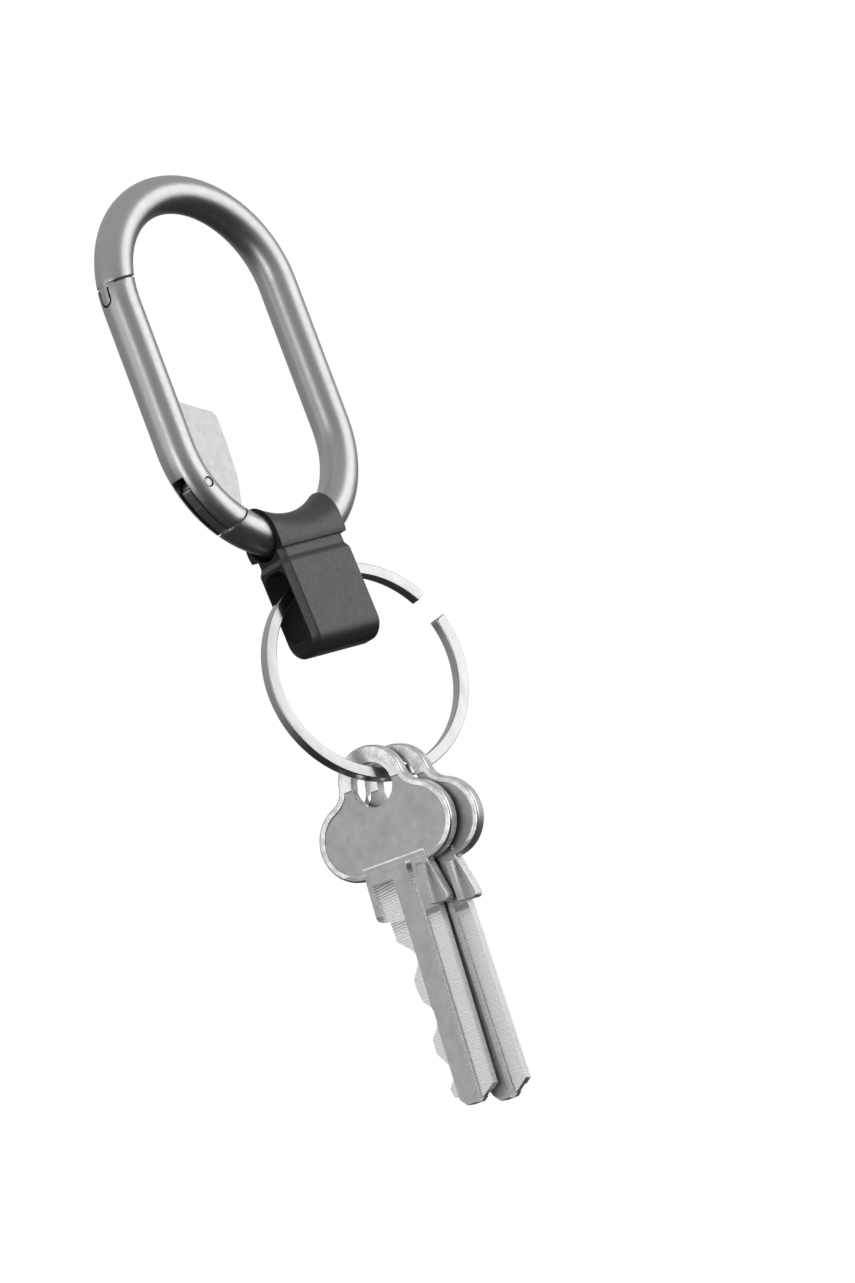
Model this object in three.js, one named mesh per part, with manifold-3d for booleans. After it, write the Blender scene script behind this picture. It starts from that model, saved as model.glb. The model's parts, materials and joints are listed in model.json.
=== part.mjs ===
// Key organiser: a small carabiner with a sprung gate. A moulded connector hangs on its rod and
// holds an open key ring, and two house keys hang on the ring.
// Millimetres, +Z up, the viewer in front looks along +Y. The origin is the point inside the top
// of the loop on which the organiser hangs.

import * as THREE from 'three';
import { mergeVertices } from 'three/addons/utils/BufferGeometryUtils.js';
import Module from 'manifold-3d';

const wasm = await Module();
wasm.setup();

const radians = THREE.MathUtils.degToRad;

// Carabiner loop: a round rod bent into two half circles joined by straight sides.
const rodRadius = 2.925;
const loopWidth = 39;
const loopHeight = 62.1;
const bendRadius = loopWidth / 2 - rodRadius;
const halfStraight = loopHeight / 2 - rodRadius - bendRadius;
const rodSides = 20;
const bendSteps = 24;

// Running gap left between pieces that move past each other.
const gap = 0.3;

// Gate hinge, in the lower left bend. Angles run down the bend from the left side.
const pinAngle = radians(23.5);
const pinRadius = 0.65;
const pinLength = 5.5;
const eyeRadius = 2.05;
const knuckleRadius = 7.6;
const tangThickness = 2;
const tangInnerRadius = bendRadius + 0.75;
const tangOuterRadius = bendRadius + rodRadius - 0.5;
const gateOpening = radians(22);
const camRise = 0.4;

// Slot in the gate's outer side that takes the tang.
const slotWidth = tangThickness + 2 * gap;
const slotFloorRadius = bendRadius - 2.45;
const slotTopAngle = radians(14.7);

// Nose: the end of the rod that the gate closes against.
const noseHeight = halfStraight + 3.9;
const noseSlope = radians(5);
const tongueLength = 3.4;
const tongueWidth = 1.6;
const tongueDepth = 2.4;

// Thumb fin on the inner side of the gate, in the middle plane.
const finThickness = 1.3;
const finSlotReach = 9.6;

// Spring and plunger in the gate, on a line from the pin up into the straight side.
const springBoreRadius = 1.2;
const springBoreEnd = 11.6;
const plungerRadius = 0.9;
const plungerLength = 2.1;
const springWire = 0.15;
const springMeanRadius = 0.72;
const springTurns = 7;

// Connector: an upper lobe around the rod and a lower plate with a slot for the ring.
const connectorSlide = radians(2.5);
const connectorYaw = radians(-4);
const connectorDrop = 0.25;
const boreRadius = 3.45;
const lobeRadius = 4.15;
const lobeLength = 13.2;
const plateLength = 14;
const plateThickness = 7.5;
const plateBottom = -18;
const plateEdge = 0.9;
const footRound = 3;
const neckThickness = 6.6;
const neckTop = -1.45;
const neckBottom = -2.9;
const shoulderBottom = -3.8;
const slotLow = -15.4;
const slotHigh = -4.3;
const ringSlotWidth = 5.2;
const connectorSwing = radians(20);

// Key ring: an open ring of rectangular section.
const ringOuterRadius = 17.1;
const ringInnerRadius = 15.3;
const ringThickness = 1.9;
const ringGapAngle = radians(14.5);
const ringGapMiddle = radians(26);
const ringCentre = new THREE.Vector3(4, -0.7, -50.7);
const ringYaw = radians(-13.2);

// Keys: flat plates with a three-lobed bow.
const keyThickness = 2.2;
const keyHoleRadius = 3.4;
const keyYaw = radians(-71.6);
const lobeSize = 6.2;
const rimWidth = 1.1;
const recessDepth = 0.25;
const fieldTop = 0.4;
const fieldFoot = -12.4;
const holeChamferWidth = 0.4;
const bladeRight = 4.9;
const bladeLeft = -3.7;
const keyTip = -50;

// ---------------------------------------------------------------- helpers

// Closed geometry to solid, placed by a matrix. Turned the right way out if its faces point in.
function solid(geometry, matrix = new THREE.Matrix4()) {
  const bare = geometry.index ? geometry.toNonIndexed() : geometry.clone();
  bare.deleteAttribute('normal');
  bare.deleteAttribute('uv');
  bare.applyMatrix4(matrix);
  const merged = mergeVertices(bare, 1e-4);
  const positions = merged.attributes.position.array;
  const triangles = dropFlat(merged.index.array);
  const made = makeSolid(positions, triangles);
  if (made.volume() > 0) {
    return made;
  }
  return makeSolid(positions, flip(triangles));
}

function makeSolid(positions, triangles) {
  const mesh = new wasm.Mesh({
    numProp: 3,
    vertProperties: new Float32Array(positions),
    triVerts: new Uint32Array(triangles),
  });
  return new wasm.Manifold(mesh);
}

function flip(triangles) {
  const flipped = [];
  for (let i = 0; i < triangles.length; i += 3) {
    flipped.push(triangles[i], triangles[i + 2], triangles[i + 1]);
  }
  return flipped;
}

function dropFlat(triangles) {
  const kept = [];
  for (let i = 0; i < triangles.length; i += 3) {
    const [a, b, c] = [triangles[i], triangles[i + 1], triangles[i + 2]];
    if (a !== b && b !== c && a !== c) {
      kept.push(a, b, c);
    }
  }
  return kept;
}

function union(parts) {
  return parts.reduce((whole, part) => whole.add(part));
}

// Solid to a named mesh with its own material.
function piece(name, shape, colour, roughness, metalness) {
  const result = shape.getMesh();
  const geometry = new THREE.BufferGeometry();
  geometry.setAttribute('position', new THREE.BufferAttribute(result.vertProperties.slice(), 3));
  geometry.setIndex(new THREE.BufferAttribute(result.triVerts.slice(), 1));
  geometry.computeVertexNormals();
  const material = new THREE.MeshStandardMaterial({ color: colour, roughness, metalness });
  const mesh = new THREE.Mesh(geometry, material);
  mesh.name = name;
  return mesh;
}

// Box from its low and high corners.
function box(low, high) {
  const size = high.map((value, i) => value - low[i]);
  const middle = high.map((value, i) => (value + low[i]) / 2);
  return solid(new THREE.BoxGeometry(...size), new THREE.Matrix4().makeTranslation(...middle));
}

// Round bar along Y through a point of the XZ plane.
function barAlongY(x, z, radius, length, sides = 32) {
  const place = new THREE.Matrix4().makeTranslation(x, 0, z);
  return solid(new THREE.CylinderGeometry(radius, radius, length, sides), place);
}

// Outline in the XZ plane, extruded along Y about the middle plane.
function plateXZ(shape, thickness, curveSegments = 12) {
  const geometry = new THREE.ExtrudeGeometry(shape, { depth: thickness, bevelEnabled: false, curveSegments });
  geometry.translate(0, 0, -thickness / 2);
  geometry.rotateX(Math.PI / 2);
  return solid(geometry);
}

// Outline in the YZ plane, extruded along X about the middle plane.
function plateYZ(shape, length, curveSegments = 12) {
  const geometry = new THREE.ExtrudeGeometry(shape, { depth: length, bevelEnabled: false, curveSegments });
  geometry.translate(0, 0, -length / 2);
  geometry.rotateX(Math.PI / 2);
  geometry.rotateZ(Math.PI / 2);
  return solid(geometry);
}

function shapeFrom(points) {
  return new THREE.Shape(points.map(([x, y]) => new THREE.Vector2(x, y)));
}

// ---------------------------------------------------------------- loop geometry

// Point of the lower left bend at an angle below the left side, at a distance from the bend's centre.
function bendPoint(angle, radius) {
  return [-radius * Math.cos(angle), -halfStraight - radius * Math.sin(angle)];
}

const [pinX, pinZ] = bendPoint(pinAngle, bendRadius);

// The rod's centre line, counted in steps from the foot of the left side, downwards and round:
// one bend, the right side in one step, the other bend, and the left side in one step.
const leftSide = 2 * bendSteps + 1;
const wholeLoop = leftSide + 1;
const stepAngle = Math.PI / bendSteps;

class LoopCurve extends THREE.Curve {
  constructor(start, end) {
    super();
    this.start = start;
    this.end = end;
  }

  step(t) {
    return (this.start + (this.end - this.start) * t) % wholeLoop;
  }

  getPoint(t, target = new THREE.Vector3()) {
    const step = this.step(t);
    if (step < bendSteps) {
      const angle = Math.PI + step * stepAngle;
      return target.set(bendRadius * Math.cos(angle), 0, -halfStraight + bendRadius * Math.sin(angle));
    }
    if (step < bendSteps + 1) {
      return target.set(bendRadius, 0, halfStraight * (2 * (step - bendSteps) - 1));
    }
    if (step < leftSide) {
      const angle = (step - bendSteps - 1) * stepAngle;
      return target.set(bendRadius * Math.cos(angle), 0, halfStraight + bendRadius * Math.sin(angle));
    }
    return target.set(-bendRadius, 0, halfStraight * (1 - 2 * (step - leftSide)));
  }

  getPointAt(u, target) {
    return this.getPoint(u, target);
  }

  getTangentAt(u, target = new THREE.Vector3()) {
    const step = this.step(u);
    let angle = Math.PI + Math.min(step, bendSteps) * stepAngle;
    if (step > bendSteps + 1) {
      angle += (Math.min(step, leftSide) - bendSteps - 1) * stepAngle;
    }
    return target.set(-Math.sin(angle), 0, Math.cos(angle));
  }
}

// Round tube along part of the loop, between two whole steps.
function rodTube(start, end, radius = rodRadius) {
  const circle = new THREE.Shape().absarc(0, 0, radius, 0, 2 * Math.PI, false);
  return solid(new THREE.ExtrudeGeometry(circle, {
    steps: end - start,
    extrudePath: new LoopCurve(start, end),
    bevelEnabled: false,
    curveSegments: rodSides / 2,
  }));
}

// Block that lies on one side of the nose seam: above it (1) or below it (-1), moved up by a shift.
function besideNose(side, shift) {
  const height = 10;
  const place = new THREE.Matrix4()
    .makeTranslation(-bendRadius, 0, noseHeight + shift)
    .multiply(new THREE.Matrix4().makeRotationY(-noseSlope))
    .multiply(new THREE.Matrix4().makeTranslation(0, 0, side * height / 2));
  return solid(new THREE.BoxGeometry(12, 20, height), place);
}

// Tongue under the nose, on the rod's outer side, grown by a clearance on every side.
function tongue(clearance) {
  const half = tongueWidth / 2 + clearance;
  const tip = noseHeight - tongueLength - clearance;
  const outline = new THREE.Shape();
  outline.moveTo(half, noseHeight + 1.6);
  outline.lineTo(-half, noseHeight + 1.6);
  outline.lineTo(-half, tip + half);
  outline.absarc(0, tip + half, half, Math.PI, 2 * Math.PI, false);
  outline.closePath();
  const depth = tongueDepth + clearance;
  const bar = plateYZ(outline, 6);
  return bar.translate([-bendRadius - rodRadius + depth - 3, 0, 0]);
}

// ---------------------------------------------------------------- carabiner pieces

// Flat tang that carries the gate. Its eye rises towards the inside, as a cam for the plunger.
function tangOutline() {
  const plungerAngle = Math.atan2(springAxis().z, springAxis().x);
  const rising = gateOpening + radians(26);
  const points = [];
  for (let i = 0; i <= 12; i += 1) {
    const turn = rising * i / 12;
    const radius = eyeRadius + camRise * Math.min(turn / gateOpening, 1);
    const angle = plungerAngle - turn;
    points.push([pinX + radius * Math.cos(angle), pinZ + radius * Math.sin(angle)]);
  }
  points.push(bendPoint(radians(31.5), bendRadius - 1.25));
  points.push(bendPoint(radians(37), bendRadius - 0.3));
  points.push(bendPoint(radians(47), tangInnerRadius));
  points.push(bendPoint(radians(60), tangInnerRadius));
  points.push(bendPoint(radians(60), bendRadius + 5));
  points.push(bendPoint(radians(40), bendRadius + 5));
  points.push(bendPoint(radians(22), bendRadius + 3.4));
  points.push([pinX - eyeRadius, pinZ + 0.2]);
  return shapeFrom(points);
}

function makeBody() {
  const rod = rodTube(5, leftSide)
    .subtract(barAlongY(pinX, pinZ, knuckleRadius + gap, 12, 72))
    .subtract(besideNose(-1, 0));
  const eye = barAlongY(pinX, pinZ, eyeRadius, tangThickness, 40);
  const tang = plateXZ(tangOutline(), tangThickness)
    .add(eye)
    .intersect(rodTube(0, 9))
    .intersect(barAlongY(0, -halfStraight, tangOuterRadius, 12, 96));
  const nose = tongue(0).intersect(rodTube(leftSide - 4, wholeLoop));
  const finSlot = barAlongY(pinX, pinZ, finSlotReach, finThickness + 2 * gap, 48)
    .intersect(barAlongY(0, -halfStraight, tangInnerRadius - gap, 6, 72));
  return rod
    .subtract(finSlot)
    .add(tang)
    .add(nose)
    .subtract(barAlongY(pinX, pinZ, pinRadius + 0.15, 12));
}

// Thumb fin, its outline in the middle plane.
function finOutline() {
  const outline = new THREE.Shape();
  outline.moveTo(-bendRadius, -2.4);
  outline.lineTo(-13.9, -2.4);
  outline.quadraticCurveTo(-13.2, -4.5, -11.6, -4.9);
  outline.lineTo(-8.5, -6.5);
  outline.quadraticCurveTo(-6.7, -7.1, -6.5, -9);
  outline.quadraticCurveTo(-6.3, -15.6, -7.8, -21.4);
  outline.quadraticCurveTo(-8.1, -22.4, -9, -21.8);
  outline.lineTo(-11.4, -20);
  outline.lineTo(-bendRadius, -15);
  outline.closePath();
  return outline;
}

function springAxis() {
  const top = new THREE.Vector3(-bendRadius, 0, -halfStraight + 7);
  return top.sub(new THREE.Vector3(pinX, 0, pinZ)).normalize();
}

// Matrix that puts a piece made along Y on the spring's line, at a distance from the pin.
function onSpringAxis(distance) {
  const axis = springAxis();
  const place = new THREE.Matrix4()
    .makeRotationFromQuaternion(new THREE.Quaternion().setFromUnitVectors(new THREE.Vector3(0, 1, 0), axis));
  return place.setPosition(pinX + axis.x * distance, 0, pinZ + axis.z * distance);
}

// The stretch of the bend past the gate's round tail.
function pastTail() {
  const stretch = shapeFrom([
    bendPoint(radians(36), 8),
    bendPoint(radians(36), 26),
    bendPoint(radians(80), 34),
    bendPoint(radians(80), 8),
  ]);
  return plateXZ(stretch, 10).subtract(barAlongY(pinX, pinZ, knuckleRadius, 12, 72));
}

function makeGate() {
  const side = rodTube(leftSide - 3, wholeLoop + 9)
    .subtract(besideNose(1, -gap))
    .subtract(pastTail());
  const fin = plateXZ(finOutline(), finThickness);
  const slotShape = shapeFrom([
    bendPoint(slotTopAngle, slotFloorRadius),
    bendPoint(radians(22), slotFloorRadius - 0.15),
    bendPoint(radians(32), slotFloorRadius - 0.15),
    bendPoint(radians(42), slotFloorRadius - 0.1),
    bendPoint(radians(68), slotFloorRadius),
    bendPoint(radians(68), bendRadius + 6),
    bendPoint(radians(35), bendRadius + 8),
    bendPoint(slotTopAngle, bendRadius + 6),
  ]);
  const slot = plateXZ(slotShape, slotWidth);
  const boreLength = springBoreEnd - eyeRadius;
  const bore = solid(
    new THREE.CylinderGeometry(springBoreRadius, springBoreRadius, boreLength, 20),
    onSpringAxis(eyeRadius + boreLength / 2),
  );
  return side
    .add(fin)
    .subtract(slot)
    .subtract(bore)
    .subtract(tongue(gap))
    .subtract(barAlongY(pinX, pinZ, pinRadius + 0.05, 12));
}

function makePin() {
  return barAlongY(pinX, pinZ, pinRadius, pinLength, 32);
}

function makePlunger() {
  const start = eyeRadius + gap;
  const profile = [new THREE.Vector2(0, start)];
  for (let i = 1; i <= 6; i += 1) {
    const turn = i / 6 * Math.PI / 2;
    profile.push(new THREE.Vector2(
      plungerRadius * Math.sin(turn),
      start + plungerRadius * (1 - Math.cos(turn)),
    ));
  }
  profile.push(new THREE.Vector2(plungerRadius, start + plungerLength));
  profile.push(new THREE.Vector2(0, start + plungerLength));
  return solid(new THREE.LatheGeometry(profile, 24), onSpringAxis(0));
}

// Helix along Y, made between the plunger's back and the end of the bore.
class HelixCurve extends THREE.Curve {
  constructor(radius, length, turns) {
    super();
    this.radius = radius;
    this.length = length;
    this.turns = turns;
  }

  getPoint(t, target = new THREE.Vector3()) {
    const angle = 2 * Math.PI * this.turns * t;
    return target.set(this.radius * Math.cos(angle), this.length * t, this.radius * Math.sin(angle));
  }
}

function makeSpring() {
  const start = eyeRadius + gap + plungerLength + gap + springWire;
  const length = springBoreEnd - gap - springWire - start;
  const wire = new THREE.Shape().absarc(0, 0, springWire, 0, 2 * Math.PI, false);
  const coil = new THREE.ExtrudeGeometry(wire, {
    steps: springTurns * 10,
    extrudePath: new HelixCurve(springMeanRadius, length, springTurns),
    bevelEnabled: false,
    curveSegments: 3,
  });
  return solid(coil, onSpringAxis(start));
}

// ---------------------------------------------------------------- connector

// Placement of the connector: slid along the bend, turned a little, and resting on the rod.
function connectorPlace() {
  return new THREE.Matrix4()
    .makeTranslation(0, 0, -halfStraight)
    .multiply(new THREE.Matrix4().makeRotationY(-connectorSlide))
    .multiply(new THREE.Matrix4().makeTranslation(0, 0, -bendRadius - connectorDrop))
    .multiply(new THREE.Matrix4().makeRotationZ(connectorYaw));
}

// The space that the rod needs while the connector swings on it, in the connector's own frame.
function swingSpace() {
  const x = bendRadius * Math.sin(connectorSlide);
  const z = -halfStraight - bendRadius * Math.cos(connectorSlide);
  const axis = new THREE.Vector3(Math.cos(connectorSlide), 0, Math.sin(connectorSlide));
  const back = connectorPlace().invert();
  const parts = [-1, -0.5, 0.5, 1].map((share) => {
    const turn = new THREE.Matrix4()
      .makeTranslation(x, 0, z)
      .multiply(new THREE.Matrix4().makeRotationAxis(axis, share * connectorSwing))
      .multiply(new THREE.Matrix4().makeTranslation(-x, 0, -z));
    return rodTube(7, 17, rodRadius + gap).transform(back.clone().multiply(turn).elements);
  });
  return union(parts);
}

// Section of the connector below the lobe: neck, sloping shoulders and the thick plate.
function plateOutline() {
  const half = plateThickness / 2;
  const outline = new THREE.Shape();
  outline.moveTo(-neckThickness / 2, neckTop + 1);
  outline.lineTo(-neckThickness / 2, neckBottom);
  outline.lineTo(-half, shoulderBottom);
  outline.lineTo(-half, plateBottom + footRound);
  outline.absarc(-half + footRound, plateBottom + footRound, footRound, Math.PI, 1.5 * Math.PI, false);
  outline.absarc(half - footRound, plateBottom + footRound, footRound, 1.5 * Math.PI, 2 * Math.PI, false);
  outline.lineTo(half, shoulderBottom);
  outline.lineTo(neckThickness / 2, neckBottom);
  outline.lineTo(neckThickness / 2, neckTop + 1);
  outline.closePath();
  return outline;
}

// Front view of the plate: square at the top, with round lower corners.
function plateFront() {
  const half = plateLength / 2;
  const lobeHalf = lobeLength / 2;
  const outline = new THREE.Shape();
  outline.moveTo(-lobeHalf, 8);
  outline.lineTo(-lobeHalf, neckBottom);
  outline.lineTo(-half, shoulderBottom);
  outline.lineTo(-half, plateBottom + footRound);
  outline.absarc(-half + footRound, plateBottom + footRound, footRound, Math.PI, 1.5 * Math.PI, false);
  outline.absarc(half - footRound, plateBottom + footRound, footRound, 1.5 * Math.PI, 2 * Math.PI, false);
  outline.lineTo(half, shoulderBottom);
  outline.lineTo(lobeHalf, neckBottom);
  outline.lineTo(lobeHalf, 8);
  outline.closePath();
  return outline;
}

// Bevelled upright edges: the plate seen from above is a rectangle with its corners cut off.
function plateTopView() {
  const [x, y] = [plateLength / 2, plateThickness / 2];
  const outline = shapeFrom([
    [-x + plateEdge, -y],
    [x - plateEdge, -y],
    [x, -y + plateEdge],
    [x, y - plateEdge],
    [x - plateEdge, y],
    [-x + plateEdge, y],
    [-x, y - plateEdge],
    [-x, -y + plateEdge],
  ]);
  const geometry = new THREE.ExtrudeGeometry(outline, { depth: 20, bevelEnabled: false });
  geometry.translate(0, 0, plateBottom - 2);
  return solid(geometry);
}

function ringSlotOutline() {
  const half = ringSlotWidth / 2;
  const round = 1.9;
  const outline = new THREE.Shape();
  outline.moveTo(-half, slotHigh - round);
  outline.lineTo(-half, slotLow + round);
  outline.absarc(-half + round, slotLow + round, round, Math.PI, 1.5 * Math.PI, false);
  outline.absarc(half - round, slotLow + round, round, 1.5 * Math.PI, 2 * Math.PI, false);
  outline.absarc(half - round, slotHigh - round, round, 0, 0.5 * Math.PI, false);
  outline.absarc(-half + round, slotHigh - round, round, 0.5 * Math.PI, Math.PI, false);
  outline.closePath();
  return outline;
}

// Rod bend of a given radius, centred on the connector's own origin.
function localBend(radius) {
  return rodTube(7, 17, radius).translate([0, 0, halfStraight + bendRadius]);
}

function makeConnector() {
  const front = plateXZ(plateFront(), 20);
  const barrel = new THREE.CylinderGeometry(lobeRadius, lobeRadius, lobeLength + 2, 40);
  const lobe = solid(barrel, new THREE.Matrix4().makeRotationZ(Math.PI / 2))
    .add(localBend(lobeRadius))
    .intersect(box([-10, -6, neckTop], [10, 6, 10]))
    .intersect(front);
  const plate = plateYZ(plateOutline(), 20, 8).intersect(front).intersect(plateTopView());
  return lobe
    .add(plate)
    .subtract(localBend(boreRadius))
    .subtract(swingSpace())
    .subtract(plateYZ(ringSlotOutline(), 20, 8));
}

// ---------------------------------------------------------------- key ring

function makeRing() {
  const start = ringGapMiddle + ringGapAngle / 2;
  const end = ringGapMiddle - ringGapAngle / 2 + 2 * Math.PI;
  const outline = new THREE.Shape();
  outline.absarc(0, 0, ringOuterRadius, start, end, false);
  outline.absarc(0, 0, ringInnerRadius, end, start, true);
  outline.closePath();
  return plateXZ(outline, ringThickness, 40);
}

// ---------------------------------------------------------------- keys

// Middles of the bow's three lobes and their radii, from the key hole's centre.
const bowLobes = [
  { x: 0, z: 0.5, radius: 5.5 },
  { x: -5.2, z: -7.2, radius: lobeSize },
  { x: 5.1, z: -7.2, radius: lobeSize },
];

// The bow's outline drawn in by an inset, as a plate.
function bowPlate(inset, thickness) {
  const lobes = bowLobes.map(({ x, z, radius }) => barAlongY(x, z, radius - inset, thickness, 36));
  const middle = plateXZ(shapeFrom([
    [-5.6 + inset, 0.6],
    [-6.6 + inset, -1.8],
    [-5.2, -13 + inset / 2],
    [5.1, -13 + inset / 2],
    [6.4 - inset, -1.8],
    [5.4 - inset, 0.6],
  ]), thickness);
  return union([...lobes, middle]);
}

// Shoulder block with small wings, and the blade with its row of cuts down one edge.
function bladeOutline(cuts) {
  const points = [
    [5.4, -12.4],
    [6.8, -19.4],
    [6.3, -20.1],
    [bladeRight, -20],
    [bladeRight, keyTip + 2],
    [2, keyTip],
    [0, keyTip],
    [-1.4, keyTip + 1.6],
  ];
  cuts.slice().reverse().forEach(([depth, height]) => points.push([bladeLeft + depth, height]));
  points.push([bladeLeft, -23.4]);
  points.push([bladeLeft, -20.2]);
  points.push([-5.1, -20]);
  points.push([-5.7, -19.2]);
  points.push([-5.4, -12.4]);
  return shapeFrom(points);
}

// Areas milled into the faces of the blade: sideways span, the heights between which they run, depth
// and face. The wide one beside the row of cuts starts below the wing.
const milledAreas = [
  { left: -4.6, right: -1, top: -14.2, foot: -20.6, depth: 0.6, face: -1 },
  { left: -6, right: -1, top: -20.6, foot: -52, depth: 0.6, face: -1 },
  { left: 1.7, right: 2.6, top: -12.6, foot: -52, depth: 0.6, face: -1 },
  { left: 2.6, right: 6, top: -20.2, foot: -52, depth: 0.35, face: -1 },
  { left: 2.7, right: 3.9, top: -14.4, foot: -52, depth: 0.6, face: 1 },
];

// Sunk field of the bow, cut off straight above the blade and beside the hole.
function bowField() {
  return bowPlate(rimWidth, 2)
    .subtract(box([-12, -3, -16], [12, 3, fieldFoot]))
    .subtract(box([-12, -3, fieldTop], [12, 3, 8]));
}

// Cone that chamfers one mouth of the key hole.
function holeChamfer(side) {
  const reach = 0.5;
  const cone = new THREE.CylinderGeometry(
    keyHoleRadius + holeChamferWidth + reach,
    keyHoleRadius - reach,
    holeChamferWidth + 2 * reach,
    40,
  );
  const place = new THREE.Matrix4().makeTranslation(0, side * keyThickness / 2, 0);
  if (side < 0) {
    place.multiply(new THREE.Matrix4().makeRotationX(Math.PI));
  }
  return solid(cone, place);
}

function makeKey(cuts) {
  const fieldAway = keyThickness / 2 - recessDepth + 1;
  let key = bowPlate(0, keyThickness)
    .add(plateXZ(bladeOutline(cuts), keyThickness))
    .subtract(bowField().translate([0, fieldAway, 0]))
    .subtract(bowField().translate([0, -fieldAway, 0]))
    .subtract(barAlongY(0, 0, keyHoleRadius, 6, 40))
    .subtract(holeChamfer(1))
    .subtract(holeChamfer(-1));
  milledAreas.forEach(({ left, right, top, foot, depth, face }) => {
    const inner = face * (keyThickness / 2 - depth);
    const outer = face * keyThickness;
    key = key.subtract(box([left, Math.min(inner, outer), foot], [right, Math.max(inner, outer), top]));
  });
  return key;
}

// Cuts as depth below the blade's uncut edge and height, from the bow down.
const frontCuts = [
  [1.9, -25.2], [2.7, -26.4], [2.6, -27.2], [0.9, -29.6], [0.9, -31.4], [1.3, -33.2],
  [2.8, -34.9], [2.8, -36.9], [1, -39], [1, -41.2], [2.4, -43.4], [2.4, -45.6], [1.4, -46.9], [1.8, -48.2],
];
const rearCuts = [
  [1, -24.6], [1.2, -26.4], [2.6, -28.4], [2.7, -29.8], [1.1, -31.6], [1.1, -32.6],
  [2, -34.2], [2, -35.8], [0.7, -37.6], [0.7, -38.4], [2.6, -40.8], [2.6, -42.4], [1.2, -44.2], [1.6, -47.2],
];

// Where each key hangs: distance round the ring from its lowest point, the key's tilt, and the place
// of the hole's middle below the ring and to the side of it.
const keyPlaces = [
  { name: 'front_key', along: -4.8, tilt: radians(4.2), below: 1.35, side: -0.8, cuts: frontCuts },
  { name: 'rear_key', along: -1, tilt: radians(2.8), below: 1.6, side: -0.1, cuts: rearCuts },
];

// Middle of the hole of a key that hangs on the ring.
function keyHangPoint({ along, below, side }) {
  const middleRadius = (ringOuterRadius + ringInnerRadius) / 2;
  const angle = along / middleRadius;
  const sideways = middleRadius * Math.sin(angle);
  return new THREE.Vector3(
    ringCentre.x + sideways * Math.cos(ringYaw) + side * Math.cos(keyYaw),
    ringCentre.y + sideways * Math.sin(ringYaw) + side * Math.sin(keyYaw),
    ringCentre.z - middleRadius * Math.cos(angle) - below,
  );
}

function placeKey(place) {
  const key = piece(place.name, makeKey(place.cuts), 0xb3b1aa, 0.42, 1);
  key.rotation.y = place.tilt;
  const hang = new THREE.Group();
  hang.position.copy(keyHangPoint(place));
  hang.rotation.z = keyYaw;
  hang.add(key);
  return hang;
}

// ---------------------------------------------------------------- assembly

const loop = new THREE.Group();
loop.add(piece('carabiner_body', makeBody(), 0x9b9b99, 0.36, 1));
loop.add(piece('gate', makeGate(), 0xa3a3a1, 0.34, 1));
loop.add(piece('gate_pivot_pin', makePin(), 0x8a8a88, 0.3, 1));
loop.add(piece('gate_spring', makeSpring(), 0xb8b8b6, 0.3, 1));
loop.add(piece('spring_plunger', makePlunger(), 0xb0b0ae, 0.3, 1));

const connector = piece('connector', makeConnector(), 0x3a3a3c, 0.62, 0.1);
connector.applyMatrix4(connectorPlace());
loop.add(connector);

const ring = piece('key_ring', makeRing(), 0xc4c4c2, 0.22, 1);
ring.position.copy(ringCentre);
ring.rotation.z = ringYaw;
loop.add(ring);

keyPlaces.forEach((place) => loop.add(placeKey(place)));

loop.position.z = -(halfStraight + bendRadius - rodRadius);
const organiser = new THREE.Group();
organiser.add(loop);

export default organiser;
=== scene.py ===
"""Key organiser: the detailed pieces, finishes, light and camera around its solid frame."""
import json
import math
import bmesh
import bpy
from bpy.props import FloatProperty, FloatVectorProperty, IntProperty, PointerProperty
from mathutils import Matrix, Vector


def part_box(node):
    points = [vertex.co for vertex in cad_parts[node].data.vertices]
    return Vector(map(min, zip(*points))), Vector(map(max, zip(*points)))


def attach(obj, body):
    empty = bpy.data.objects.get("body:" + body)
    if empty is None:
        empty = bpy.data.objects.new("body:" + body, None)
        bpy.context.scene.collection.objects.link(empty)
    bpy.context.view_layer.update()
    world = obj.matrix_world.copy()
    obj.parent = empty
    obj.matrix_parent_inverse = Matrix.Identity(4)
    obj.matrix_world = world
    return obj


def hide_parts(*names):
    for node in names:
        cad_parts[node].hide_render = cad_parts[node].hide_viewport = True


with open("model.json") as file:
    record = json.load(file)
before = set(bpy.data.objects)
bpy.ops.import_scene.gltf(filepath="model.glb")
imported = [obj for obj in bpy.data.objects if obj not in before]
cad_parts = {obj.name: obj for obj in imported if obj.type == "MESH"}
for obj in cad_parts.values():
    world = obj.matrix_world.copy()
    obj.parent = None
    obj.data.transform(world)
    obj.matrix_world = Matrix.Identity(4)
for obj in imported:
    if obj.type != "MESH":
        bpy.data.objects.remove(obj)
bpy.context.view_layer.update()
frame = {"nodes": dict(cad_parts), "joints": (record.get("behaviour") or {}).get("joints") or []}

bl_info = {
    "name": "Key Organiser",
    "version": (1, 0, 0),
    "blender": (4, 5, 0),
    "location": "View3D > Sidebar > Organiser",
    "description": "Models a carabiner key organiser with its connector, ring and house keys",
    "category": "Object",
}

MM = 0.001
ROD_LOW, ROD_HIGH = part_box("carabiner_body")
RING_LOW, RING_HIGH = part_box("key_ring")
PIN_LOW, PIN_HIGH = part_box("gate_pivot_pin")


# ---------------------------------------------------------------- sizes and finishes


def length_prop(name, description, default):
    return FloatProperty(name=name, description=description, default=default,
                         unit="LENGTH", subtype="DISTANCE")


def angle_prop(name, description, degrees):
    return FloatProperty(name=name, description=description, default=math.radians(degrees),
                         unit="ROTATION", subtype="ANGLE")


def colour_prop(name, description, default):
    return FloatVectorProperty(name=name, description=description, default=default,
                               subtype="COLOR", size=3, min=0, max=1)


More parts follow.
